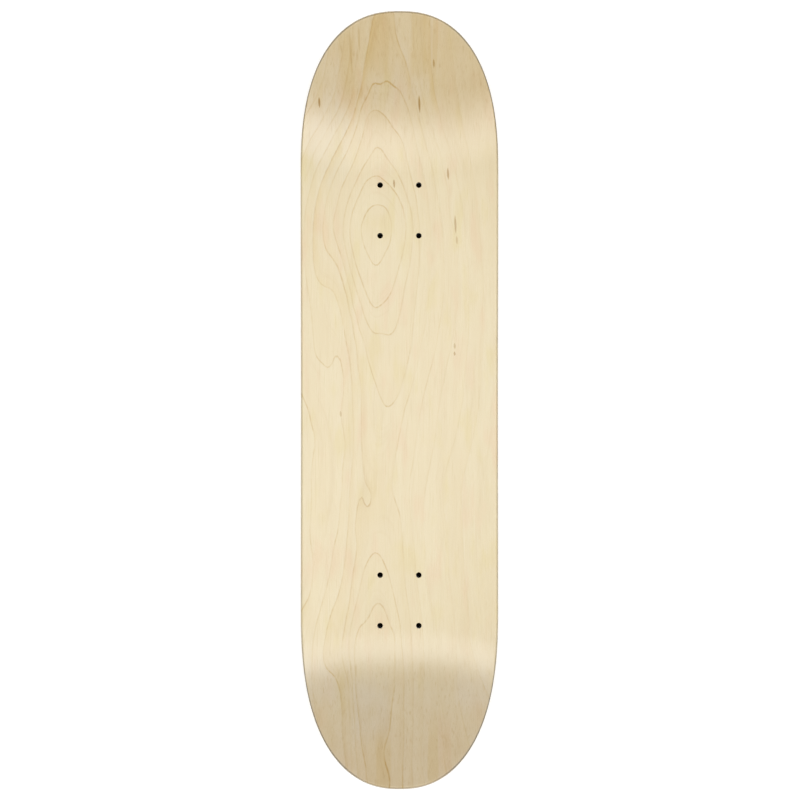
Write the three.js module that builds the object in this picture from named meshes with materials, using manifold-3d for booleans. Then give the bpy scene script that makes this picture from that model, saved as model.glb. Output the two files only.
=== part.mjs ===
// A bare seven-ply skateboard deck that lies on its underside. Sizes are in millimetres: +X runs
// across the board, +Y towards the nose and +Z up. The origin is on the ground, under the middle
// of the deck's length.

import * as THREE from 'three';
import { mergeVertices } from 'three/addons/utils/BufferGeometryUtils.js';
import Module from 'manifold-3d';

// Truck bolt holes: two groups of four
const wheelbase = 361.95; // between the inner rows of the two groups
const boltSpacingAcross = 41.275;
const boltSpacingAlong = 53.975;
const boltHoleDiameter = 6;

// Outline from above. Each tip is a quarter of a superellipse, mirrored left to right.
const noseLength = 177.8; // outer bolt holes to the tip
const tailLength = 165.1;
const waistWidth = 210.6; // midway between the trucks, the narrowest place
const noseFlare = 0.8; // added to the waist's width where the taper to the tip starts
const tailFlare = 0.4;
const noseTaperLength = 161.5;
const tailTaperLength = 176;
const nosePowers = { along: 2.43, across: 2.36 };
const tailPowers = { along: 2.4, across: 2.3 };

// Dish across the board: a flat strip for the trucks, then rails that curve up
const flatStripWidth = 56;
const dishDepth = 5;

// Kicks: each bends up past the outer bolt holes and then runs straight to its tip
const noseKickStart = 13; // outer bolt holes to the start of the bend
const tailKickStart = 6;
const noseBendLength = 88;
const tailBendLength = 60;
const noseKickAngle = THREE.MathUtils.degToRad(19.2);
const tailKickAngle = THREE.MathUtils.degToRad(20.4);
const kickDishShare = 0.1; // of the dish, what is left in the kicks

// Lay-up and edge
const veneerThickness = 1.5;
const glueLine = 0.1;
const edgeRadius = 1.5;

// Fineness of the facets
const tipRows = 11;
const dishColumns = 5;
const holeSides = 16;
const cutOverrun = 5;

// From the underside up: the name, the grain's direction and the colour of each veneer
const veneers = [
  { name: 'bottom_face_veneer', grain: 'along', color: 0xe9d8b3 },
  { name: 'lower_core_veneer', grain: 'along', color: 0xdfc79b },
  { name: 'lower_cross_veneer', grain: 'across', color: 0xcdb080 },
  { name: 'centre_core_veneer', grain: 'along', color: 0xdfc79b },
  { name: 'upper_cross_veneer', grain: 'across', color: 0xcdb080 },
  { name: 'upper_core_veneer', grain: 'along', color: 0xdfc79b },
  { name: 'top_face_veneer', grain: 'along', color: 0xeddebd },
];

const veneerPitch = veneerThickness + glueLine;
const deckThickness = veneers.length * veneerPitch - glueLine;
const deckLength = noseLength + wheelbase + 2 * boltSpacingAlong + tailLength;
const frontOuterHoles = deckLength / 2 - noseLength;
const rearOuterHoles = deckLength / 2 - tailLength;

const nose = {
  side: 1,
  halfWidth: (waistWidth + noseFlare) / 2,
  taperLength: noseTaperLength,
  powers: nosePowers,
  kickStart: frontOuterHoles + noseKickStart,
  bendLength: noseBendLength,
  slope: Math.tan(noseKickAngle),
};
const tail = {
  side: -1,
  halfWidth: (waistWidth + tailFlare) / 2,
  taperLength: tailTaperLength,
  powers: tailPowers,
  kickStart: rearOuterHoles + tailKickStart,
  bendLength: tailBendLength,
  slope: Math.tan(tailKickAngle),
};

// The rise of the deck over its flat strip at a place, and its slope there both ways. A kick
// starts later under the raised rails, so its bend line is curved and most of the dish runs out.
function deckShape(x, y) {
  const beyondStrip = Math.max(Math.abs(x) - flatStripWidth / 2, 0);
  const dishSpan = (waistWidth - flatStripWidth) / 2;
  const dish = dishDepth * (beyondStrip / dishSpan) ** 2;
  const dishSlope = (Math.sign(x) * 2 * dishDepth * beyondStrip) / dishSpan ** 2;
  const end = y > 0 ? nose : tail;
  const lost = 1 - kickDishShare;
  const run = Math.abs(y) - end.kickStart - (dish * lost) / end.slope;
  const bent = THREE.MathUtils.clamp(run / end.bendLength, 0, 1);
  return {
    rise: dish + end.slope * bent * (run - (end.bendLength * bent) / 2),
    slopeX: dishSlope * (1 - lost * bent),
    slopeY: end.side * end.slope * bent,
  };
}

// The point of the deck over a place of the outline drawing, at a level above the underside.
// Levels are measured square to the board; the outline is drawn where the lower edge round ends.
function deckPoint(x, y, level) {
  const { rise, slopeX, slopeY } = deckShape(x, y);
  const up = new THREE.Vector3(-slopeX, -slopeY, 1).normalize();
  return new THREE.Vector3(x, y, edgeRadius + rise).addScaledVector(up, level - edgeRadius);
}

// Right-hand half of one tip's outline, from the full width to the tip, with its outward normals
function tipOutline(end) {
  const { along, across } = end.powers;
  const taperStart = deckLength / 2 - end.taperLength;
  return Array.from({ length: tipRows + 1 }, (_, row) => {
    const turn = ((row / tipRows) * Math.PI) / 2;
    const shareAlong = Math.sin(turn) ** (2 / along);
    const shareAcross = row < tipRows ? Math.cos(turn) ** (2 / across) : 0;
    const outward = new THREE.Vector2(
      (across / end.halfWidth) * shareAcross ** (across - 1),
      (end.side * along * shareAlong ** (along - 1)) / end.taperLength,
    ).normalize();
    const x = end.halfWidth * shareAcross;
    const y = end.side * (taperStart + end.taperLength * shareAlong);
    return { x, y, outward, isTip: row === tipRows };
  });
}

const waistY = (frontOuterHoles - rearOuterHoles) / 2;
const waist = { x: waistWidth / 2, y: waistY, outward: new THREE.Vector2(1, 0), isTip: false };
const rows = [...tipOutline(tail).reverse(), waist, ...tipOutline(nose)];

// Columns at shares of the half width, dense enough for the dish and symmetric about the middle
const stripShare = flatStripWidth / waistWidth;
const rightColumns = Array.from(
  { length: dishColumns + 1 },
  (_, column) => stripShare + ((1 - stripShare) * column) / dishColumns,
);
const columns = [...rightColumns.map((share) => -share).reverse(), ...rightColumns];

// How far the rounded edge lies inside the outline at a level
function edgeInset(level) {
  const radius = Math.min(edgeRadius, deckThickness / 2);
  const depth = Math.max(radius - Math.min(level, deckThickness - level), 0);
  return radius - Math.sqrt(radius ** 2 - depth ** 2);
}

// A closed sheet between two levels: two like grids joined by a wall round the outline
function sheetGeometry(bottomLevel, topLevel) {
  const positions = [];
  for (const level of [bottomLevel, topLevel]) {
    const inset = edgeInset(level);
    for (const { x, y, outward } of rows) {
      const edgeX = Math.max(x - inset * outward.x, 0);
      const edgeY = y - inset * outward.y;
      for (const share of columns) positions.push(...deckPoint(share * edgeX, edgeY, level));
    }
  }
  const gridSize = rows.length * columns.length;
  const vertex = (layer, row, column) =>
    layer * gridSize + row * columns.length + (rows[row].isTip ? 0 : column);

  const index = [];
  const addTriangle = (a, b, c) => {
    if (a !== b && b !== c && c !== a) index.push(a, b, c);
  };
  // Corners in order anticlockwise from outside; the cut runs from the first to the third
  const addQuad = (a, b, c, d) => {
    addTriangle(a, b, c);
    addTriangle(a, c, d);
  };
  const last = columns.length - 1;
  for (let row = 0; row + 1 < rows.length; row++) {
    for (let column = 0; column < last; column++) {
      const cornersOf = (layer) => [
        vertex(layer, row, column),
        vertex(layer, row, column + 1),
        vertex(layer, row + 1, column + 1),
        vertex(layer, row + 1, column),
      ];
      const [a, b, c, d] = cornersOf(0);
      const [e, f, g, h] = cornersOf(1);
      // The cut leans towards the middle line on both sides, so that the halves mirror each other
      if (column < last / 2) {
        addQuad(a, d, c, b);
        addQuad(e, f, g, h);
      } else {
        addQuad(b, a, d, c);
        addQuad(f, g, h, e);
      }
    }
    for (const [side, near, far] of [[last, row, row + 1], [0, row + 1, row]]) {
      addQuad(vertex(0, near, side), vertex(0, far, side), vertex(1, far, side), vertex(1, near, side));
    }
  }
  const geometry = new THREE.BufferGeometry();
  geometry.setAttribute('position', new THREE.Float32BufferAttribute(positions, 3));
  geometry.setIndex(index);
  return geometry;
}

const wasm = await Module();
wasm.setup();

function solidFrom(geometry) {
  const bare = geometry.clone();
  bare.deleteAttribute('normal');
  bare.deleteAttribute('uv');
  const merged = mergeVertices(bare);
  return new wasm.Manifold(new wasm.Mesh({
    numProp: 3,
    vertProperties: new Float32Array(merged.getAttribute('position').array),
    triVerts: new Uint32Array(merged.getIndex().array),
  }));
}

function geometryFrom(solid) {
  const { vertProperties, triVerts } = solid.getMesh();
  const geometry = new THREE.BufferGeometry();
  geometry.setAttribute('position', new THREE.BufferAttribute(vertProperties, 3));
  geometry.setIndex(new THREE.BufferAttribute(triVerts, 1));
  geometry.computeVertexNormals();
  return geometry;
}

// The eight drilled bolt holes, as cylinders that overrun both faces
const boltRows = [
  frontOuterHoles,
  frontOuterHoles - boltSpacingAlong,
  boltSpacingAlong - rearOuterHoles,
  -rearOuterHoles,
];
const drills = boltRows.flatMap((y) => [-1, 1].map((side) => {
  const radius = boltHoleDiameter / 2;
  const drill = new THREE.CylinderGeometry(radius, radius, deckThickness + 2 * cutOverrun, holeSides);
  drill.rotateX(Math.PI / 2);
  drill.translate((side * boltSpacingAcross) / 2, y, deckThickness / 2);
  return solidFrom(drill);
}));

const deck = new THREE.Group();
veneers.forEach(({ name, grain, color }, ply) => {
  const bottomLevel = ply * veneerPitch;
  const sheet = solidFrom(sheetGeometry(bottomLevel, bottomLevel + veneerThickness));
  const drilled = drills.reduce((solid, drill) => solid.subtract(drill), sheet);
  const material = new THREE.MeshStandardMaterial({ color, roughness: 0.5, metalness: 0 });
  const veneer = new THREE.Mesh(geometryFrom(drilled), material);
  veneer.name = name;
  veneer.userData.grain = grain;
  deck.add(veneer);
});

export default deck;
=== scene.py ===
"""A bare maple skateboard deck: seven pressed veneers, the glue between them and eight drilled holes.

Lengths are in metres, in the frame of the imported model: +X across the board, +Y towards the nose,
+Z up, with the underside's flat strip on Z = 0. The wood's patterns have the same axes and are in
millimetres. A pair of numbers named ..._from says where a mask starts and where it is whole.
"""

import logging
import math
from collections.abc import Callable, Sequence
from dataclasses import dataclass, field
from enum import Enum

import bpy
import numpy as np
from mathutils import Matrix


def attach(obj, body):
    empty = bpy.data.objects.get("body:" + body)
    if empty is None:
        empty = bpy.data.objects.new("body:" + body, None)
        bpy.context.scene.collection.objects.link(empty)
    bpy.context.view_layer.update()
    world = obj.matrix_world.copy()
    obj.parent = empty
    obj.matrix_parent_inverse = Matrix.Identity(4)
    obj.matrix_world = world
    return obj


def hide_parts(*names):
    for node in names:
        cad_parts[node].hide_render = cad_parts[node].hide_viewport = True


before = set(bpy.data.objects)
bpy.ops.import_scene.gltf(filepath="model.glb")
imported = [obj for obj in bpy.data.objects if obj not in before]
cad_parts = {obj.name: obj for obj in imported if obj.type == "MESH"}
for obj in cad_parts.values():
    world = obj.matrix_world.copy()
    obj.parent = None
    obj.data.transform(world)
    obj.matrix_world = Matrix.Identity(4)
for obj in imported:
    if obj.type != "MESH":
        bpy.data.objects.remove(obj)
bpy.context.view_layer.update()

LOG = logging.getLogger("deck")
MM = 0.001
ROOT_BODY = "root"
SHARP_ANGLE = 35.0


class Grain(Enum):
    """The way a veneer's fibres run in the board."""

    ALONG = 0.0
    ACROSS = 1.0


@dataclass(frozen=True)
class Kick:
    """One upturned end of the board and its outline from above.

    Args:
        side: +1 for the nose and -1 for the tail.
        length: from the outer bolt holes to the tip.
        flare: what the taper's start adds to the waist's width.
        taper: length over which the outline falls from the full width to the tip.
        power_along: how full the outline is along the board.
        power_across: how full the outline is across the board.
        start: from the outer bolt holes to the start of the bend.
        bend: length of the bend.
        angle: slope of the straight part, in degrees.
    """

    side: int
    length: float
    flare: float
    taper: float
    power_along: float
    power_across: float
    start: float
    bend: float
    angle: float

    @property
    def slope(self) -> float:
        """Rise over run of the straight part."""
        return math.tan(math.radians(self.angle))


@dataclass(frozen=True)
class Board:
    """Sizes of the whole board, as its construction gives them."""

    wheelbase: float = 361.95 * MM
    bolt_across: float = 41.275 * MM
    bolt_along: float = 53.975 * MM
    bolt_hole: float = 6 * MM
    waist: float = 210.6 * MM
    flat_strip: float = 56 * MM
    dish_depth: float = 5 * MM
    kick_dish_share: float = 0.1
    veneer: float = 1.5 * MM
    glue: float = 0.1 * MM
    plies: int = 7
    edge_radius: float = 1.5 * MM
    nose: Kick = Kick(
        side=1, length=177.8 * MM, flare=0.8 * MM, taper=161.5 * MM,
        power_along=2.43, power_across=2.36, start=13 * MM, bend=88 * MM, angle=19.2,
    )
    tail: Kick = Kick(
        side=-1, length=165.1 * MM, flare=0.4 * MM, taper=176 * MM,
        power_along=2.4, power_across=2.3, start=6 * MM, bend=60 * MM, angle=20.4,
    )

    @property
    def pitch(self) -> float:
        """From one veneer's underside to the next one's."""
        return self.veneer + self.glue

    @property
    def thickness(self) -> float:
        """From the underside to the standing face."""
        return self.plies * self.pitch - self.glue

    @property
    def half_length(self) -> float:
        """From the middle of the board to either tip."""
        return (self.nose.length + self.wheelbase + 2 * self.bolt_along + self.tail.length) / 2

    @property
    def dish_span(self) -> float:
        """Width over which each rail rises."""
        return (self.waist - self.flat_strip) / 2

    def outer_holes(self, kick: Kick) -> float:
        """Distance of one end's outer bolt holes from the middle of the board."""
        return self.half_length - kick.length

    def truck(self, kick: Kick) -> float:
        """Distance of the middle of one end's bolt holes from the middle of the board."""
        return self.outer_holes(kick) - self.bolt_along / 2

    def edge_inset(self, level: float) -> float:
        """How far the rounded edge lies inside the outline at a level above the underside."""
        depth = max(self.edge_radius - min(level, self.thickness - level), 0.0)
        return self.edge_radius - math.sqrt(self.edge_radius**2 - depth**2)


def _step(operation: str, swapped: bool = False) -> Callable[["Field", "Value"], "Field"]:
    """A method that joins a field to another value by one step of arithmetic.

    Args:
        operation: the Math node's operation.
        swapped: whether the other value comes first.

    Returns:
        The method.
    """

    def method(this: "Field", other: "Value") -> "Field":
        """Joins the two."""
        return this.graph.math(operation, *((other, this) if swapped else (this, other)))

    return method


class Field:
    """The output of a node, which takes part in plain arithmetic."""

    def __init__(self, graph: "Graph", socket: bpy.types.NodeSocket) -> None:
        """Keeps the graph that new nodes go to and the socket that holds the value."""
        self.graph = graph
        self.socket = socket

    __add__, __radd__ = _step("ADD"), _step("ADD", swapped=True)
    __sub__, __rsub__ = _step("SUBTRACT"), _step("SUBTRACT", swapped=True)
    __mul__, __rmul__ = _step("MULTIPLY"), _step("MULTIPLY", swapped=True)
    __truediv__ = _step("DIVIDE")


Value = Field | float
Colour = tuple[float, float, float]
Span = tuple[float, float]
Layer = tuple[Value, Colour]
Inputs = dict[str | int, object]


class Socket(Enum):
    """What an input or output of a group carries."""

    FLOAT = "NodeSocketFloat"
    VECTOR = "NodeSocketVector"
    GEOMETRY = "NodeSocketGeometry"
    MATERIAL = "NodeSocketMaterial"


class Graph:
    """A node tree that is written as arithmetic."""

    def __init__(self, tree: bpy.types.NodeTree) -> None:
        """Keeps the tree that the nodes go to."""
        self.tree = tree
        self.given: dict[str, Field] = {}

    @classmethod
    def group(cls, name: str, kind: str, inputs: dict[str, Socket], outputs: Sequence[str]) -> "Graph":
        """Makes a node group that has only its inputs, which given then holds by name.

        Args:
            name: the group's name.
            kind: the tree type.
            inputs: what each input carries.
            outputs: names of the outputs, which are geometry in a geometry tree and else values.

        Returns:
            The graph of the new group.
        """
        graph = cls(bpy.data.node_groups.new(name, kind))
        carried = Socket.GEOMETRY if kind == "GeometryNodeTree" else Socket.FLOAT
        for sockets, direction in ((inputs, "INPUT"), (dict.fromkeys(outputs, carried), "OUTPUT")):
            for socket, carries in sockets.items():
                graph.tree.interface.new_socket(name=socket, in_out=direction, socket_type=carries.value)
        given = graph.add("NodeGroupInput").outputs
        graph.given = {socket.name: Field(graph, socket) for socket in given if socket.name}
        return graph

    def add(self, kind: str, inputs: Inputs | None = None, **settings: object) -> bpy.types.Node:
        """Adds a node.

        Args:
            kind: the node's type.
            inputs: values or fields by the input's name or number.
            **settings: the node's own properties.

        Returns:
            The new node.
        """
        node = self.tree.nodes.new(kind)
        for name, setting in settings.items():
            setattr(node, name, setting)
        for key, value in (inputs or {}).items():
            self.feed(node.inputs[key], value)
        return node

    def read(self, kind: str, *inputs: Inputs, output: str | int = 0, **settings: object) -> Field:
        """Adds a node and gives one of its outputs, by name or number."""
        return Field(self, self.add(kind, *inputs, **settings).outputs[output])

    def feed(self, socket: bpy.types.NodeSocket, value: object) -> None:
        """Links a field to a socket, or sets the socket's own value.

        Args:
            socket: a node's input.
            value: the field or the plain value.
        """
        if isinstance(value, Field):
            self.tree.links.new(value.socket, socket)
        else:
            socket.default_value = value

    def output(self, **values: Field) -> None:
        """Feeds the group's outputs, which are named with underscores for spaces."""
        self.add("NodeGroupOutput", {name.replace("_", " "): value for name, value in values.items()})

    def math(self, operation: str, *values: Value, clamp: bool = False) -> Field:
        """One step of scalar arithmetic."""
        return self.read("ShaderNodeMath", dict(enumerate(values)), operation=operation, use_clamp=clamp)

    def join(self, x: Value, y: Value, z: Value = 0.0) -> Field:
        """A vector from its three parts."""
        return self.read("ShaderNodeCombineXYZ", {0: x, 1: y, 2: z})

    def split(self, vector: Field) -> tuple[Field, Field, Field]:
        """The three parts of a vector."""
        outputs = self.add("ShaderNodeSeparateXYZ", {0: vector}).outputs
        return Field(self, outputs[0]), Field(self, outputs[1]), Field(self, outputs[2])

    def attribute(self, name: str) -> Field:
        """A value that the mesh holds at its points."""
        return self.read("ShaderNodeAttribute", output="Fac", attribute_name=name)

    def ramp(self, value: Field, low: float, high: float) -> Field:
        """Rises smoothly from 0 to 1 as the value goes from low to high."""
        inputs = {"Value": value, "From Min": low, "From Max": high}
        return self.read("ShaderNodeMapRange", inputs, interpolation_type="SMOOTHSTEP")

    def tints(self, colour: Colour, layers: Sequence[Layer]) -> Field:
        """A colour under tints that lie over each other.

        Args:
            colour: linear RGB to start from.
            layers: how much of each tint shows, and the linear RGB that it multiplies by.

        Returns:
            The tinted colour.
        """
        tinted: object = (*colour, 1.0)
        for factor, tint in layers:
            node = self.add("ShaderNodeMix", data_type="RGBA", blend_type="MULTIPLY")
            sockets = {socket.identifier: socket for socket in (*node.inputs, *node.outputs)}
            self.feed(sockets["Factor_Float"], factor)
            self.feed(sockets["A_Color"], tinted)
            self.feed(sockets["B_Color"], (*tint, 1.0))
            tinted = Field(self, sockets["Result_Color"])
        return tinted


def linear(red: int, green: int, blue: int) -> Colour:
    """Linear RGB of a colour that is given in display values from 0 to 255."""
    shares = [value / 255 for value in (red, green, blue)]
    return tuple(s / 12.92 if s <= 0.04045 else ((s + 0.055) / 1.055) ** 2.4 for s in shares)


def mesh_of(name: str, points: Sequence[Sequence[float]], faces: Sequence[Sequence[int]]) -> bpy.types.Mesh:
    """Makes a mesh from its points and faces.

    Args:
        name: the mesh's name.
        points: its points.
        faces: numbers of each face's points.

    Returns:
        The mesh.
    """
    mesh = bpy.data.meshes.new(name)
    mesh.from_pydata(points, [], faces)
    mesh.update()
    return mesh


def place_in_scene(name: str, data: bpy.types.ID) -> bpy.types.Object:
    """Makes an object of its data and links it to the scene.

    Args:
        name: the object's name.
        data: its mesh, lamp or camera.

    Returns:
        The object.
    """
    placed = bpy.data.objects.new(name, data)
    bpy.context.scene.collection.objects.link(placed)
    return placed


@dataclass(frozen=True)
class Mottle:
    """Smooth noise around zero.

    Args:
        x: size of its features along the first axis.
        y: their size along the second axis.
        z: their size along the third axis.
        detail: how many finer layers it has.
        roughness: how strong these are.
    """

    x: float
    y: float
    z: float = 1.0
    detail: float = 2.0
    roughness: float = 0.5

    def at(self, x: Field, y: Field, z: Value = 0.0) -> Field:
        """The noise at a place.

        Args:
            x: place along the first axis.
            y: place along the second axis.
            z: place along the third axis.

        Returns:
            A value around zero.
        """
        place = x.graph.join(x / self.x, y / self.y, z / self.z)
        inputs = {"Vector": place, "Scale": 1.0, "Detail": self.detail, "Roughness": self.roughness}
        return x.graph.read("ShaderNodeTexNoise", inputs, noise_dimensions="3D") - 0.5


class Outline:
    """The board's outline from above, as rows from the tail's tip to the nose's."""

    def __init__(self, board: Board, tip_rows: int, waist_rows: int) -> None:
        """Lays out the rows.

        Args:
            board: the board's sizes.
            tip_rows: rows in each tip.
            waist_rows: rows between the two tapers.
        """
        tail = self._tip(board, board.tail, tip_rows)[::-1]
        nose = self._tip(board, board.nose, tip_rows)
        middle = (board.outer_holes(board.nose) - board.outer_holes(board.tail)) / 2
        rows = []
        for y in np.linspace(tail[-1][1], nose[0][1], waist_rows + 2)[1:-1]:
            kick, end = (board.nose, nose[0][1]) if y > middle else (board.tail, tail[-1][1])
            blend = (1 - math.cos(math.pi * (y - middle) / (end - middle))) / 2
            rows.append(((board.waist + kick.flare * blend) / 2, float(y), 1.0, 0.0))
        self.rows = np.array(tail + rows + nose)

    @staticmethod
    def _tip(board: Board, kick: Kick, count: int) -> list[tuple[float, float, float, float]]:
        """One tip's right half, from the full width to the tip.

        Args:
            board: the board's sizes.
            kick: the end.
            count: rows in it.

        Returns:
            The place and the outward direction of each row.
        """
        half_width = (board.waist + kick.flare) / 2
        rows = []
        for step in range(count + 1):
            turn = step / count * math.pi / 2
            along = math.sin(turn) ** (2 / kick.power_along)
            across = math.cos(turn) ** (2 / kick.power_across) if step < count else 0.0
            out_x = kick.power_across / half_width * across ** (kick.power_across - 1)
            out_y = kick.side * kick.power_along / kick.taper * along ** (kick.power_along - 1)
            size = math.hypot(out_x, out_y)
            y = kick.side * (board.half_length - kick.taper * (1 - along))
            rows.append((half_width * across, y, out_x / size, out_y / size))
        return rows

    def inset(self, distance: float) -> tuple[np.ndarray, np.ndarray]:
        """Half widths and places of the rows of an outline that lies inside this one."""
        x, y, out_x, out_y = self.rows.T
        return np.maximum(x - distance * out_x, 0.0), y - distance * out_y


@dataclass(frozen=True)
class Viewpoint:
    """Where the photograph was taken from, straight above the board with the nose up in it.

    Args:
        height: of the lens over the standing face.
        x: of the lens, right of the board's middle line.
        y: of the lens, along the board.
        span: what the picture spans at the standing face.
        pixels: width and height of the picture.
    """

    height: float = 1.708
    x: float = 0.57 * MM
    y: float = -0.62 * MM
    span: float = 853.2 * MM
    pixels: int = 800

    def pixels_of(self, points: np.ndarray, face: float) -> np.ndarray:
        """Where points of the board lie in the picture.

        Args:
            points: places in metres, one to a row.
            face: height of the standing face.

        Returns:
            Pixels from the picture's left and from its top, one pair to a row.
        """
        scale = self.pixels / self.span * self.height / (self.height + face - points[:, 2])
        across = self.pixels / 2 + (points[:, 0] - self.x) * scale
        down = self.pixels / 2 - (points[:, 1] - self.y) * scale
        return np.column_stack((across, down))


@dataclass(frozen=True)
class RingLine:
    """One growth-ring line, read off the picture.

    Args:
        ring: number of its ring, counted outwards.
        strength: how dark the line is.
        places: places on it in picture pixels.
        late: how dark the late wood is that ends at the line.
    """

    ring: float
    strength: float
    places: tuple[tuple[float, float], ...]
    late: float = 0.2


@dataclass(frozen=True)
class Fleck:
    """A mineral fleck: its place and length in millimetres, and how dark it is."""

    x: float
    y: float
    length: float
    strength: float


class Tone(Enum):
    """How a band differs from the wood round it: most are the wood's own tones, and a few bands use them for
    painted light and painted shade.
    """

    GOLDEN = (0.96, 0.925, 0.82)
    ROSY = (0.99, 0.945, 0.93)
    TAN = (0.955, 0.945, 0.9)
    COOL = (0.98, 1.0, 1.08)
    HAZY = (1.02, 1.04, 1.12)


@dataclass(frozen=True)
class Band:
    """A soft band of another tone along the fibres, mostly the wood's own but in a few places painted light
    and shade: its middle, width and length in millimetres.
    """

    tone: Tone
    x: float
    y: float
    width: float
    length: float


@dataclass(frozen=True)
class MapleFigure:
    """The figure of a rotary-cut face veneer."""

    lines: tuple[RingLine, ...]
    flecks: tuple[Fleck, ...]
    bands: tuple[Band, ...] = ()


@dataclass
class RingField:
    """The rings' smooth run over a veneer, fitted through its ring lines.

    Args:
        lines: the ring lines.
        stretch: how far places are drawn together along the board, where the run changes slowly.
        softness: how rounded the run is at the places, in pixels.
        slack: how far the run may miss them.
        batch: points of the mesh that are worked on at a time.
        step: pixels over which the run's slope is taken.
        near: pixels within which a place's own tone holds.
        least_gap: least slope that a gap between rings is worked out from.
        least_turn: least slope that a line's turn is worked out from.
        leg_share: strength of a line where it runs along the board.
        apex_share: strength of a line where it turns.
        apex_gain: how soon a line that turns has that strength.
    """

    lines: Sequence[RingLine]
    stretch: float = 0.4
    softness: float = 5.0
    slack: float = 0.3
    batch: int = 4000
    step: float = 0.5
    near: float = 2.0
    least_gap: float = 1e-4
    least_turn: float = 1e-6
    leg_share: float = 0.45
    apex_share: float = 1.5
    apex_gain: float = 2.2

    def __post_init__(self) -> None:
        """Fits the run."""
        places = [(place, line) for line in self.lines for place in line.places]
        self.places = np.array([place for place, _ in places]) * (1, self.stretch)
        self.tones = np.array([(line.strength, line.late) for _, line in places])
        rings = np.array([line.ring for _, line in places])
        count, terms = len(rings), np.column_stack((np.ones(len(rings)), self.places))
        reach = self._reach(self.places) - self.slack * np.eye(count)
        corner = np.zeros((terms.shape[1], terms.shape[1]))
        system = np.block([[reach, terms], [terms.T, corner]])
        self.weights = np.linalg.solve(system, np.concatenate((rings, np.zeros(len(corner)))))

    def _reach(self, places: np.ndarray) -> np.ndarray:
        """Softened distances from places to every place of the lines."""
        apart = places[:, None, :] - self.places[None]
        return np.sqrt((apart**2).sum(axis=2) + self.softness**2)

    def _fit(self, pixels: np.ndarray) -> tuple[np.ndarray, np.ndarray]:
        """Reads the run at places of the picture.

        Args:
            pixels: the places, one to a row.

        Returns:
            The ring's number at each, and how dark its line and its late wood are.
        """
        rings, tones = [], []
        for start in range(0, len(pixels), self.batch):
            places = pixels[start : start + self.batch] * (1, self.stretch)
            reach = self._reach(places)
            terms = np.column_stack((reach, np.ones(len(places)), places))
            nearness = (reach**2 - self.softness**2 + self.near**2) ** -2
            rings.append(terms @ self.weights)
            tones.append(nearness @ self.tones / nearness.sum(axis=1)[:, None])
        return np.concatenate(rings), np.concatenate(tones)

    def mark(self, mesh: bpy.types.Mesh, board: Board, view: Viewpoint) -> None:
        """Writes the run to a mesh, as attributes that the maple finish reads.

        Args:
            mesh: the formed veneer.
            board: the board's sizes.
            view: the viewpoint of the picture that the lines were read off.
        """
        points = np.empty(len(mesh.vertices) * 3)
        mesh.vertices.foreach_get("co", points)
        pixels = view.pixels_of(points.reshape(-1, 3), board.thickness)
        rings, tones = self._fit(pixels)
        across = self._fit(pixels + (self.step, 0))[0] - rings
        along = self._fit(pixels + (0, self.step))[0] - rings
        steep = np.hypot(across, along)
        turned = np.abs(along) / np.maximum(steep, self.least_turn)
        shown = self.leg_share + (self.apex_share - self.leg_share) * np.minimum(turned * self.apex_gain, 1)
        marks = {
            "ring": rings,
            "ring_gap": self.step * (view.span / view.pixels / MM) / np.maximum(steep, self.least_gap),
            "ring_strength": tones[:, 0] * shown,
            "ring_late": tones[:, 1],
        }
        for name, values in marks.items():
            attribute = mesh.attributes.new(name, "FLOAT", "POINT")
            attribute.data.foreach_set("value", values)


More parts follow.
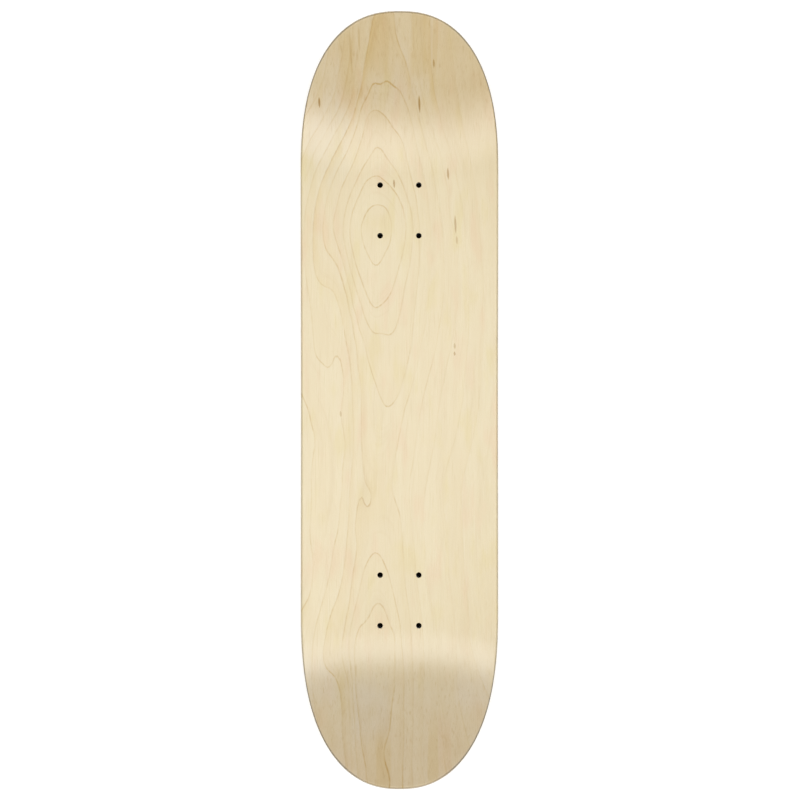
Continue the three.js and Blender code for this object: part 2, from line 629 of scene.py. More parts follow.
TOP_FIGURE = MapleFigure(
    lines=(
        RingLine(0, 0.8, ((379, 205), (386, 208), (390, 217), (391.5, 230), (390, 243), (385, 253),
            (379, 264), (374, 265), (369, 257), (365, 248), (362, 238), (361, 229), (364, 218),
            (369, 209)), late=0.0),
        RingLine(1, 0.8, ((377, 176), (370, 178), (364, 184), (359, 196), (352, 213), (350, 231),
            (352, 249), (356, 266), (361, 280), (368, 298), (375, 308), (382, 304), (388, 298), (394, 285),
            (400, 264), (404, 247), (406, 226), (402, 205), (395, 192), (386, 182)), late=0.1),
        RingLine(2, 0.7, ((377.5, 147), (370, 157), (363, 168), (358, 178), (350, 196), (345, 214),
            (343, 232), (346, 252), (351, 270), (356, 288), (361, 304), (366, 320), (371, 330), (381, 333),
            (389, 335), (394, 331), (399, 317), (402, 303), (405, 285), (410, 262), (412, 240), (412, 218),
            (407, 198), (402, 183), (396, 171), (388, 160)), late=0.25),
        RingLine(3, 0.7, ((374, 110), (367, 117), (364, 130), (358, 150), (350, 170), (341, 190),
            (336, 210), (333, 225), (336, 240), (342, 258), (347, 280), (352, 303), (358, 325), (364, 342),
            (368, 360), (374, 379), (381, 398), (388, 407), (394, 402), (399, 394), (406, 370), (411, 345),
            (415, 310), (418, 280), (420, 250), (418, 215), (412, 182), (407, 160), (402, 141), (393, 128),
            (383, 114))),
        RingLine(4, 0.8, ((358, 122), (362, 106), (367, 97)), late=0.1),
        RingLine(4, 1.7, ((373, 83), (379, 85.5), (387, 80.5), (393, 86)), late=0.1),
        RingLine(4, 0.5, ((400, 91), (404, 99), (409, 112)), late=0.1),
        RingLine(4, 0.3, ((414, 132), (420, 160), (427, 190), (431, 230), (431, 270), (427, 310),
            (420, 350), (412, 385))),
        RingLine(4, 0.7, ((405, 408), (401, 427), (397, 447), (394, 468), (392, 488), (396, 503),
            (400, 515), (402, 535), (404, 560), (405, 580), (407, 598), (410, 618), (412, 650))),
        RingLine(4, 0.5, ((350, 145), (340, 165), (331, 185), (325, 210))),
        RingLine(4, 1, ((323, 235), (326, 249), (333, 259), (338, 268), (343, 282), (348, 300), (352, 320),
            (356, 345), (358, 368), (361, 388), (361, 410), (361, 440), (363, 468), (368, 486), (371, 498),
            (369, 507), (364, 505), (360, 497), (357, 507), (355, 528), (357, 545), (354, 568), (351, 590),
            (348, 612), (344, 632)), late=0.5),
        RingLine(4, 0.6, ((342, 655), (346, 673), (349, 690), (350, 720), (351, 750)), late=0.15),
        RingLine(5, 0.95, ((375, 13), (370, 35), (366, 57), (363, 74), (360, 92), (355, 110), (348, 128),
            (338, 148), (327, 170), (318, 195), (314, 220), (313, 250)), late=0.9),
        RingLine(5, 0.9, ((315, 272), (320, 283), (326, 287), (332, 290), (338, 304), (342, 320),
            (346, 342), (350, 365), (352, 390), (353, 420), (353, 450), (351, 478), (349, 495), (349, 515),
            (347, 540), (345, 560), (341, 585), (335, 603), (329, 620), (325, 640), (323, 656)), late=0.4),
        RingLine(5, 0.7, ((327, 669), (335, 677), (340, 690), (342, 710), (343, 740),
            (346, 765)), late=0.3),
        RingLine(5, 0.75, ((394, 13), (395, 30), (400, 48), (405, 60), (409, 75)), late=0.5),
        RingLine(5, 0.5, ((413, 95), (419, 120), (427, 150), (435, 185), (441, 220), (444, 260), (443, 300),
            (438, 335), (433, 360), (425, 390), (419, 420), (416, 440), (413, 462), (410, 480), (409, 500),
            (412, 530), (416, 570), (421, 610), (424, 650), (423, 700), (421, 760)), late=0.15),
        RingLine(6, 0.4, ((361, 19), (359, 40), (356, 60), (354, 80), (351, 100), (345, 115), (335, 133),
            (325, 152), (314, 175), (307, 200), (304, 230), (305, 260))),
        RingLine(6, 0.6, ((308, 290), (311, 310), (313, 332), (315, 354), (321, 362), (328, 368),
            (333, 363))),
        RingLine(6, 1.2, ((336, 355), (340, 359))),
        RingLine(6, 0.8, ((343, 372), (344, 388), (342, 404), (341, 417), (344, 433), (345, 447),
            (343, 466), (342, 488), (340, 510), (338, 530), (334, 546), (331, 566), (326, 590), (320, 611),
            (315, 630), (312, 660))),
        RingLine(6, 0.35, ((412, 12), (414, 40), (418, 70), (424, 100), (432, 127), (440, 152), (447, 185),
            (450, 215), (456, 240), (458, 270), (458, 300), (454, 330), (448, 360), (442, 390), (438, 415),
            (434, 445), (428, 475), (424, 500), (423, 530), (427, 580), (434, 630), (438, 690),
            (442, 730)), late=0.05),
        RingLine(7, 0.35, ((353, 24), (351, 50), (348, 70), (344, 90), (338, 110), (328, 128), (316, 148),
            (309, 168), (303, 185))),
        RingLine(7, 0.9, ((308, 409), (311, 422), (315, 438), (313, 456), (311, 480), (311, 510),
            (310, 538), (313, 560), (312, 583), (309, 597), (304, 606))),
        RingLine(7, 0.4, ((430, 18), (431, 60), (435, 95)), late=0.8),
        RingLine(7, 0.3, ((443, 130), (452, 160), (461, 200), (466, 250), (469, 300), (468, 345),
            (463, 400), (455, 440), (445, 475), (443, 500), (446, 525), (449, 560), (452, 600), (456, 640),
            (459, 700)), late=0.15),
        RingLine(8, 0.4, ((345, 32), (343, 50), (339, 72), (335, 92), (328, 108), (318, 128), (307, 148))),
        RingLine(8, 0.25, ((450, 30), (456, 80), (464, 130), (474, 180), (481, 240), (484, 300), (482, 360),
            (478, 410), (470, 450), (463, 480), (462, 520), (464, 570), (470, 640))),
        RingLine(3, 0.8, ((357, 600), (361, 583), (364, 570), (368, 561), (374, 553), (381, 557),
            (386, 568), (390, 580), (393, 592), (397, 610), (401, 640), (404, 690), (404, 740))),
        RingLine(3, 0.4, ((352, 620), (349, 645), (352, 680), (354, 720), (356, 755))),
        RingLine(2, 0.8, ((354, 655), (356, 637), (360, 627), (366, 622), (371, 612), (378, 603),
            (384, 608), (388, 618), (391, 628), (395, 637))),
        RingLine(1.4, 0.2, ((371, 668), (371, 694))),
        RingLine(2, 1.2, ((355, 685), (358, 712), (361, 740), (365, 762), (367, 782))),
        RingLine(2, 1.1, ((395, 652), (395, 668), (395, 682), (393, 697))),
        RingLine(2, 1.3, ((391, 715), (389, 733))),
        RingLine(2, 0.9, ((385, 745), (384, 757)), late=0.3),
        RingLine(2, 3.0, ((387, 768), (390, 786)), late=0.3),
    ),
    flecks=(
        Fleck(-84.9, 314.6, 12, 1.0),
        Fleck(21.1, 313.0, 19, 0.95),
        Fleck(36.1, 353.5, 9, 0.65),
        Fleck(-51.2, 366.0, 44, 0.22),
        Fleck(-42.5, 379.0, 26, 0.2),
        Fleck(-5.7, 230.1, 10, 1.0),
        Fleck(51.8, 240.5, 14, 0.9),
        Fleck(59.6, 186.6, 21, 0.8),
        Fleck(61.2, 169.6, 10, 0.5),
        Fleck(58.9, 57.0, 7, 0.6),
        Fleck(58.8, 48.8, 5, 0.8),
        Fleck(-62.6, -15.5, 7, 0.5),
    ),
    bands=(
        Band(Tone.GOLDEN, -55, 352, 16, 80),
        Band(Tone.GOLDEN, -21, 372, 20, 60),
        Band(Tone.HAZY, 2, 345, 15, 70),
        Band(Tone.GOLDEN, 20, 382, 16, 84),
        Band(Tone.GOLDEN, 37, 374, 5, 80),
        Band(Tone.HAZY, -70, 335, 22, 60),
        Band(Tone.HAZY, -16, 325, 24, 34),
        Band(Tone.HAZY, 22, 330, 20, 26),
        # Painted light at the nose's bend: a cooler, whiter painted highlight on the left, and painted shade
        # over the right half.
        Band(Tone.COOL, -76, 275, 44, 90),
        Band(Tone.TAN, 66, 276, 116, 66),
        Band(Tone.GOLDEN, 35, -375, 9, 70),
        Band(Tone.ROSY, 47, -365, 14, 60),
        Band(Tone.GOLDEN, -17, -380, 16, 60),
        Band(Tone.COOL, -30, -328, 40, 60),
        # Painted light: lighter, bluer patches at both rails where the tail bends.
        Band(Tone.HAZY, -88, -300, 40, 40),
        Band(Tone.HAZY, 76, -306, 36, 40),
    ),
)
UNDERSIDE_FIGURE = MapleFigure(
    lines=(
        RingLine(1, 0.8, ((380, 790), (384, 700), (392, 610), (399, 575), (406, 606), (412, 700),
            (415, 790))),
        RingLine(2, 0.7, ((364, 790), (368, 690), (378, 570), (392, 480), (400, 452), (409, 485),
            (420, 580), (428, 700), (432, 790))),
        RingLine(3, 0.9, ((348, 790), (353, 660), (365, 520), (382, 400), (396, 350), (404, 338),
            (414, 372), (428, 480), (440, 620), (446, 790))),
        RingLine(4, 0.6, ((334, 790), (338, 640), (352, 460), (372, 320), (392, 240), (401, 222),
            (412, 250), (430, 370), (448, 540), (458, 700), (460, 790))),
        RingLine(5, 0.8, ((320, 760), (326, 600), (340, 420), (362, 250), (384, 150), (398, 118),
            (414, 160), (436, 290), (458, 470), (472, 650), (475, 760))),
        RingLine(6, 0.5, ((309, 650), (318, 450), (338, 270), (360, 120), (376, 30), (424, 30), (446, 170),
            (468, 360), (486, 600))),
    ),
    flecks=(Fleck(-40, 120, 12, 0.7), Fleck(66, -160, 9, 0.6), Fleck(12, 300, 14, 0.5)),
)


@dataclass(frozen=True)
class Fibres:
    """A group of fine streaks, soft bands and dark threads that run along the second axis."""

    streaks: Mottle = Mottle(0.9, 45, 3, detail=3.0, roughness=0.6)
    bands: Mottle = Mottle(7, 260, 9)
    clouds: Mottle = Mottle(24, 52, 9, detail=1.0)
    cloud_share: float = 0.7
    threads: Mottle = Mottle(2.2, 34, 3, detail=1.0)
    thread_from: Span = (0.08, 0.28)

    def build(self) -> bpy.types.NodeTree:
        """Makes the group.

        Returns:
            The group's tree.
        """
        inputs, outputs = {"Place": Socket.VECTOR}, ("Streaks", "Bands", "Threads")
        graph = Graph.group("wood_fibres", "ShaderNodeTree", inputs, outputs)
        place = graph.split(graph.given["Place"])
        bands = self.bands.at(*place) + self.clouds.at(*place) * self.cloud_share
        threads = graph.ramp(self.threads.at(*place), *self.thread_from)
        graph.output(Streaks=self.streaks.at(*place), Bands=bands, Threads=threads)
        return graph.tree


@dataclass(frozen=True)
class FleckShape:
    """A group that masks a short mineral fleck along the fibres."""

    ragged: Mottle = Mottle(0.7, 3, detail=1.0)
    ragged_side: float = 0.4
    ragged_end: float = 1.5
    lean: float = -0.05
    half_width: float = 1.2
    taper: float = 4.8
    shown_from: Span = (-0.2, 0.5)

    def build(self) -> bpy.types.NodeTree:
        """Makes the group.

        Returns:
            The group's tree.
        """
        inputs = dict.fromkeys(("Place", "Centre"), Socket.VECTOR)
        inputs |= dict.fromkeys(("Length", "Strength"), Socket.FLOAT)
        graph = Graph.group("mineral_fleck", "ShaderNodeTree", inputs, ["Mask"])
        x, y, _ = graph.split(graph.given["Place"])
        centre_x, centre_y, _ = graph.split(graph.given["Centre"])
        ragged = self.ragged.at(x, y)
        lean = (y - centre_y) * self.lean
        side = graph.math("ABSOLUTE", x - centre_x - lean + ragged * self.ragged_side)
        run = (y - centre_y + ragged * self.ragged_end) / graph.given["Length"]
        inside = self.half_width - run * run * self.taper - side
        graph.output(Mask=graph.ramp(inside, *self.shown_from) * graph.given["Strength"])
        return graph.tree


@dataclass(frozen=True)
class BandShape:
    """A group that masks a soft band along the fibres, with fingers at its ends."""

    waver: Mottle = Mottle(9, 60, detail=1.0)
    waver_width: float = 5.0
    fingers: Mottle = Mottle(2.5, 90)
    fingers_at: float = 3.0
    finger_length: float = 0.5
    side_from: Span = (-0.62, -0.38)
    end_from: Span = (-0.72, -0.18)

    def build(self) -> bpy.types.NodeTree:
        """Makes the group.

        Returns:
            The group's tree.
        """
        inputs = dict.fromkeys(("Place", "Centre"), Socket.VECTOR)
        inputs |= dict.fromkeys(("Width", "Length"), Socket.FLOAT)
        graph = Graph.group("tone_band", "ShaderNodeTree", inputs, ["Mask"])
        x, y, _ = graph.split(graph.given["Place"])
        centre_x, centre_y, _ = graph.split(graph.given["Centre"])
        waver = self.waver.at(x, y) * self.waver_width
        side = graph.math("ABSOLUTE", x - centre_x + waver) / graph.given["Width"]
        fingers = self.fingers.at(x, y, self.fingers_at) * self.finger_length
        run = graph.math("ABSOLUTE", y - centre_y) / graph.given["Length"] + fingers
        graph.output(Mask=graph.ramp(side * -1.0, *self.side_from) * graph.ramp(run * -1.0, *self.end_from))
        return graph.tree


@dataclass(frozen=True)
class CutEdge:
    """A group of how much of a sanded edge is end grain, with its pores, for fibres along Y or across."""

    pores: Mottle = Mottle(0.5, 0.5, 0.35, roughness=0.7)
    pore_from: Span = (0.02, 0.2)

    def build(self) -> bpy.types.NodeTree:
        """Makes the group.

        Returns:
            The group's tree.
        """
        inputs = {"Place": Socket.VECTOR, "Facing": Socket.VECTOR, "Across": Socket.FLOAT}
        graph = Graph.group("cut_edge", "ShaderNodeTree", inputs, ["End Grain", "Pores"])
        across = graph.given["Across"]
        face_x, face_y, _ = graph.split(graph.given["Facing"])
        end_grain = face_y * face_y * (1.0 - across) + face_x * face_x * across
        pores = self.pores.at(*graph.split(graph.given["Place"]))
        graph.output(End_Grain=end_grain, Pores=graph.ramp(pores, *self.pore_from))
        return graph.tree


class WoodGroups:
    """The shader groups that the finishes of the wood share."""

    def __init__(self) -> None:
        """Builds the groups."""
        self.fibres = Fibres().build()
        self.fleck = FleckShape().build()
        self.band = BandShape().build()
        self.cut_edge = CutEdge().build()


class Finish:
    """A material with a Principled shader and helpers for its pattern."""

    def __init__(self, name: str) -> None:
        """Makes an empty material with one shader.

        Args:
            name: the material's name.
        """
        self.material = bpy.data.materials.new(name)
        self.material.use_nodes = True
        self.graph = Graph(self.material.node_tree)
        self.shader = self.material.node_tree.nodes["Principled BSDF"]

    def place(self) -> Field:
        """The object's own coordinates in millimetres."""
        here = self.graph.read("ShaderNodeTexCoord", output="Object")
        return self.graph.read("ShaderNodeVectorMath", {0: here, "Scale": 1 / MM}, operation="SCALE")

    def use(self, group: bpy.types.NodeTree, **values: object) -> dict[str, Field]:
        """Places a shared group with its own values.

        Args:
            group: the group's tree.
            **values: what its inputs take, by name.

        Returns:
            Its outputs by name.
        """
        node = self.graph.add("ShaderNodeGroup", node_tree=group)
        for name, value in values.items():
            self.graph.feed(node.inputs[name], value)
        return {socket.name: Field(self.graph, socket) for socket in node.outputs}

    def edge(self, groups: WoodGroups, place: Field, grain: Grain) -> dict[str, Field]:
        """The end grain and its pores where the surface turns to the board's edge."""
        facing = self.graph.read("ShaderNodeNewGeometry", output="Normal")
        return self.use(groups.cut_edge, Place=place, Facing=facing, Across=grain.value)

    def set(self, **values: object) -> None:
        """Feeds or sets the shader's inputs, named with underscores for spaces."""
        for name, value in values.items():
            self.graph.feed(self.shader.inputs[name.replace("_", " ")], value)

    def emboss(self, height: Field, depth: float) -> None:
        """Turns a height from 0 to 1 into relief of a depth in metres."""
        inputs = {"Height": height, "Strength": 1.0, "Distance": depth}
        self.set(Normal=self.graph.read("ShaderNodeBump", inputs))


@dataclass(frozen=True)
class GrowthRings:
    """How the growth rings show on a face veneer that a RingField has marked."""

    waver: Mottle = Mottle(5, 22)
    waver_width: float = 1.1
    faded: Mottle = Mottle(14, 34, 2)
    faded_from: Span = (-0.25, 0.15)
    faded_share: float = 0.7
    broken: Mottle = Mottle(3, 9, detail=1.0)
    broken_from: Span = (-0.2, 0.12)
    broken_share: float = 0.5
    thinness: float = 2.2
    late_from: Span = (0.15, 1.0)
    late_end: Span = (-0.5, 0.5)
    late_last: Span = (0.9, 1.0)
    year: Mottle = Mottle(160, 300)
    year_apart: float = 1.7
    flow: Mottle = Mottle(1, 150, 90, detail=3.0, roughness=0.6)
    flow_count: float = 6.0
    flow_waver: float = 3.0
    flow_from: Span = (0.0, 0.3)

    def masks(self, graph: Graph, x: Field, y: Field) -> tuple[Field, Field, Field, Field]:
        """The ring lines, the late wood that ends at them, each year's tone, and the streaks between.

        Args:
            graph: the material's graph.
            x: place across the board in millimetres.
            y: place along the board in millimetres.

        Returns:
            The four masks; the year's tone goes to either side of zero.
        """
        names = ("ring", "ring_gap", "ring_strength", "ring_late")
        ring, gap, strength, lateness = (graph.attribute(name) for name in names)
        waver = self.waver.at(x, y) * self.waver_width / gap
        wavy = ring + waver
        faded = graph.ramp(self.faded.at(x, y, ring), *self.faded_from)
        shown = faded * self.faded_share + (1.0 - self.faded_share)
        broken = graph.ramp(self.broken.at(x, y), *self.broken_from)
        whole = broken * self.broken_share + (1.0 - self.broken_share)
        beyond = (wavy - graph.math("ROUND", wavy)) * gap
        line = graph.math("EXPONENT", beyond * beyond * -self.thinness) * strength * shown * whole
        within = graph.math("FRACT", wavy)
        ended = graph.ramp(beyond, *self.late_end) * graph.ramp(within, *self.late_last)
        late = graph.ramp(within, *self.late_from) * (1.0 - ended) * lateness
        year = self.year.at(x, y, graph.math("FLOOR", wavy) * self.year_apart)
        flow = self.flow.at(ring * self.flow_count + waver * self.flow_waver, y, x)
        return line, late, year, graph.ramp(flow, *self.flow_from)


@dataclass(frozen=True)
class FaceMaple:
    """Pale lacquered maple with a growth-ring figure, for the two outer veneers.

    The colours are tints in linear RGB, and each gain is how much of a tint shows at most. A rim is
    the rounded edge, where edge_depth rises from 0 at the face to 1. Painted light and shade are in
    the tints of the flat strip, the nose and the tail, in a lighter rim on the flat strip, in a darker
    rim on the kicks and at the nose's tip, and in a few of the figure's bands.
    """

    name: str
    figure: MapleFigure
    rings: GrowthRings = GrowthRings()
    wood: Colour = linear(198, 181, 149)
    band: Colour = (0.965, 0.945, 0.905)
    band_from: Span = (-0.3, 0.35)
    year: Colour = (0.985, 0.965, 0.93)
    year_from: Span = (-0.3, 0.3)
    ring: Colour = (0.78, 0.65, 0.36)
    late: Colour = (0.955, 0.89, 0.7)
    streak: Colour = (0.86, 0.79, 0.66)
    streak_from: Span = (-0.1, 0.3)
    streak_gain: float = 0.24
    thread_gain: float = 0.3
    flow_gain: float = 0.35
    patch: Mottle = Mottle(19, 70)
    patch_at: float = 5.0
    patch_from: Span = (0.02, 0.3)
    patch_gain: float = 1.7
    nose_calm: float = 0.7
    tail_calm: float = 1.15
    blush: Colour = (1.0, 0.935, 0.915)
    straw: Colour = (0.97, 0.957, 0.81)
    kick_from: Span = (230.0, 320.0)
    kick_gain: float = 1.0
    # Painted light: tints of the flat strip, the nose kick and the tail kick for how light falls on each;
    # the tail is painted cooler and greyer as shade, and darker towards its tip.
    flat_light_tint: Colour = (0.982, 1.0, 0.87)
    nose_light_tint: Colour = (1.0, 0.991, 0.91)
    tail_shade_tint: Colour = (0.965, 0.995, 1.04)
    tail_tip_shade_tint: Colour = (0.94, 0.915, 0.88)
    tail_tip_shade_from: Span = (305.0, 385.0)
    fleck: Colour = (0.52, 0.37, 0.02)
    fleck_halo: Colour = (1.0, 0.95, 0.82)
    rim_from: Span = (0.0, 0.03)
    # Painted light and shade on the rounded edge: lighter and bluer on the flat strip, darker on the kicks'
    # flanks and near the nose's tip, darkest where it is steep.
    flat_rim_light: Colour = (1.12, 1.17, 1.34)
    rim: Colour = (0.75, 0.76, 0.79)
    steep_rim_shade: Colour = (0.55, 0.55, 0.56)
    steep_from: Span = (0.03, 0.3)
    flank_from: Span = (30.0, 60.0)
    nose_rim_shade_from: Span = (340.0, 395.0)
    nose_rim_shade_gain: float = 0.45
    end_grain: Colour = (0.86, 0.81, 0.75)
    end_grain_gain: float = 0.5
    sheen_roughness: float = 0.28
    streak_roughness: float = 0.06
    rim_roughness: float = 0.3
    line_groove: float = 0.3
    relief: float = 0.006 * MM

    def build(self, groups: WoodGroups) -> bpy.types.Material:
        """Makes the material.

        Args:
            groups: the shared wood groups.

        Returns:
            The finished material.
        """
        finish = Finish(self.name)
        graph, place = finish.graph, finish.place()
        x, y, _ = graph.split(place)
        fibres = finish.use(groups.fibres, Place=place)
        streaks = fibres["Streaks"]
        line, late, year, flow = self.rings.masks(graph, x, y)
        in_nose, in_tail = graph.ramp(y, *self.kick_from), graph.ramp(y * -1.0, *self.kick_from)
        in_kick = in_nose + in_tail
        gain = in_kick * self.kick_gain + 1.0
        patch = self.patch.at(x, y, self.patch_at)
        patchy = self.patch_gain - in_nose * self.nose_calm - in_tail * self.tail_calm

        layers: list[Layer] = [
            (graph.ramp(fibres["Bands"], *self.band_from), self.band),
            (graph.ramp(year, *self.year_from), self.year),
            (graph.ramp(patch, *self.patch_from) * patchy, self.blush),
            (graph.ramp(patch * -1.0, *self.patch_from) * patchy, self.straw),
            # painted light: the flat strip, the nose and the tail tinted for how light falls on them, with
            # painted shade on the tail and its tip
            (1.0 - in_kick, self.flat_light_tint),
            (in_nose, self.nose_light_tint),
            (in_tail, self.tail_shade_tint),
            (graph.ramp(y * -1.0, *self.tail_tip_shade_from), self.tail_tip_shade_tint),
            (graph.ramp(streaks, *self.streak_from) * gain * self.streak_gain, self.streak),
            (fibres["Threads"] * gain * self.thread_gain, self.streak),
            (flow * self.flow_gain, self.streak),
        ]
        # the figure's bands: mostly the wood's own tone, a few painted light and painted shade
        for band in self.figure.bands:
            values = {"Centre": (band.x, band.y, 0.0), "Width": band.width, "Length": band.length}
            layers.append((finish.use(groups.band, Place=place, **values)["Mask"], band.tone.value))
        layers += [(late, self.late), (line, self.ring)]
        for fleck in self.figure.flecks:
            values = {"Centre": (fleck.x, fleck.y, 0.0), "Length": fleck.length, "Strength": fleck.strength}
            mask = finish.use(groups.fleck, Place=place, **values)["Mask"]
            layers += [(graph.math("SQRT", mask), self.fleck_halo), (mask, self.fleck)]

        depth = graph.attribute("edge_depth")
        rim = graph.ramp(depth, *self.rim_from)
        flank = in_kick * graph.ramp(graph.math("ABSOLUTE", x), *self.flank_from)
        # painted shade on the rounded edge, on the kicks' flanks and near the nose's tip
        edge_shade = graph.math("MAXIMUM", flank, graph.ramp(y, *self.nose_rim_shade_from) * self.nose_rim_shade_gain)
        end_grain = finish.edge(groups, place, Grain.ALONG)["End Grain"]
        # the rounded edge: painted light on the flat strip, painted shade on the kicks and at the nose's
        # tip, and the wood's own end grain
        layers += [
            (rim * (1.0 - in_kick), self.flat_rim_light),
            (rim * edge_shade, self.rim),
            (graph.ramp(depth, *self.steep_from) * edge_shade, self.steep_rim_shade),
            (rim * end_grain * self.end_grain_gain, self.end_grain),
        ]
        roughness = self.sheen_roughness + streaks * self.streak_roughness + rim * self.rim_roughness
        finish.set(Base_Color=graph.tints(self.wood, layers), Roughness=roughness)
        finish.emboss(streaks + 0.5 - line * self.line_groove, self.relief)
        return finish.material


@dataclass(frozen=True)
class CoreMaple:
    """Maple of the inner veneers, which shows only at the board's edge."""

    name: str
    grain: Grain
    wood: Colour
    end_grain: Colour = (0.86, 0.81, 0.75)
    pore_gain: float = 0.6
    streak: Colour = (0.82, 0.74, 0.62)
    streak_from: Span = (-0.15, 0.25)
    streak_gain: float = 0.5
    roughness: float = 0.55
    streak_roughness: float = 0.12
    relief: float = 0.02 * MM

    def build(self, groups: WoodGroups) -> bpy.types.Material:
        """Makes the material.

        Args:
            groups: the shared wood groups.

        Returns:
            The finished material.
        """
        finish = Finish(self.name)
        graph, place = finish.graph, finish.place()
        x, y, z = graph.split(place)
        along = graph.join(y, x, z) if self.grain is Grain.ACROSS else place
        streaks = finish.use(groups.fibres, Place=along)["Streaks"]
        edge = finish.edge(groups, place, self.grain)
        layers = [
            (graph.ramp(streaks, *self.streak_from) * self.streak_gain, self.streak),
            (edge["End Grain"], self.end_grain),
            (edge["End Grain"] * edge["Pores"] * self.pore_gain, self.end_grain),
        ]
        roughness = self.roughness + streaks * self.streak_roughness
        finish.set(Base_Color=graph.tints(self.wood, layers), Roughness=roughness)
        finish.emboss(streaks + 0.5, self.relief)
        return finish.material


@dataclass(frozen=True)
class CuredGlue:
    """The thin amber line of glue between two veneers."""

    name: str = "cured_glue"
    amber: Colour = linear(148, 124, 94)
    beads: Mottle = Mottle(3, 3, 3)
    bead_from: Span = (-0.2, 0.25)
    bead: Colour = (0.7, 0.62, 0.5)
    roughness: float = 0.4
    bead_roughness: float = 0.2

    def build(self) -> bpy.types.Material:
        """Makes the material.

        Returns:
            The finished material.
        """
        finish = Finish(self.name)
        graph = finish.graph
        beads = self.beads.at(*graph.split(finish.place()))
        colour = graph.tints(self.amber, [(graph.ramp(beads, *self.bead_from), self.bead)])
        finish.set(Base_Color=colour, Roughness=self.roughness + beads * self.bead_roughness)
        return finish.material


@dataclass(frozen=True)
class DrilledWall:
    """The wall of a bolt hole, browned by the heat of the drill and darkened nearly to black as painted
    shade deep in the hole.
    """

    name: str = "drilled_wall"
    # Nearly black: browned by the drill, and painted shade deep in the hole.
    scorch_and_shade: Colour = linear(8, 4, 3)
    grooves: Mottle = Mottle(4, 4, 0.12)
    groove_from: Span = (-0.2, 0.25)
    groove: Colour = (0.5, 0.42, 0.34)
    roughness: float = 0.8
    groove_roughness: float = 0.2
    gloss: float = 0.1
    relief: float = 0.03 * MM

    def build(self) -> bpy.types.Material:
        """Makes the material.

        Returns:
            The finished material.
        """
        finish = Finish(self.name)
        graph = finish.graph
        grooves = self.grooves.at(*graph.split(finish.place()))
        colour = graph.tints(self.scorch_and_shade, [(graph.ramp(grooves, *self.groove_from), self.groove)])
        roughness = self.roughness + grooves * self.groove_roughness
        finish.set(Base_Color=colour, Roughness=roughness, Specular_IOR_Level=self.gloss)
        finish.emboss(grooves + 0.5, self.relief)
        return finish.material


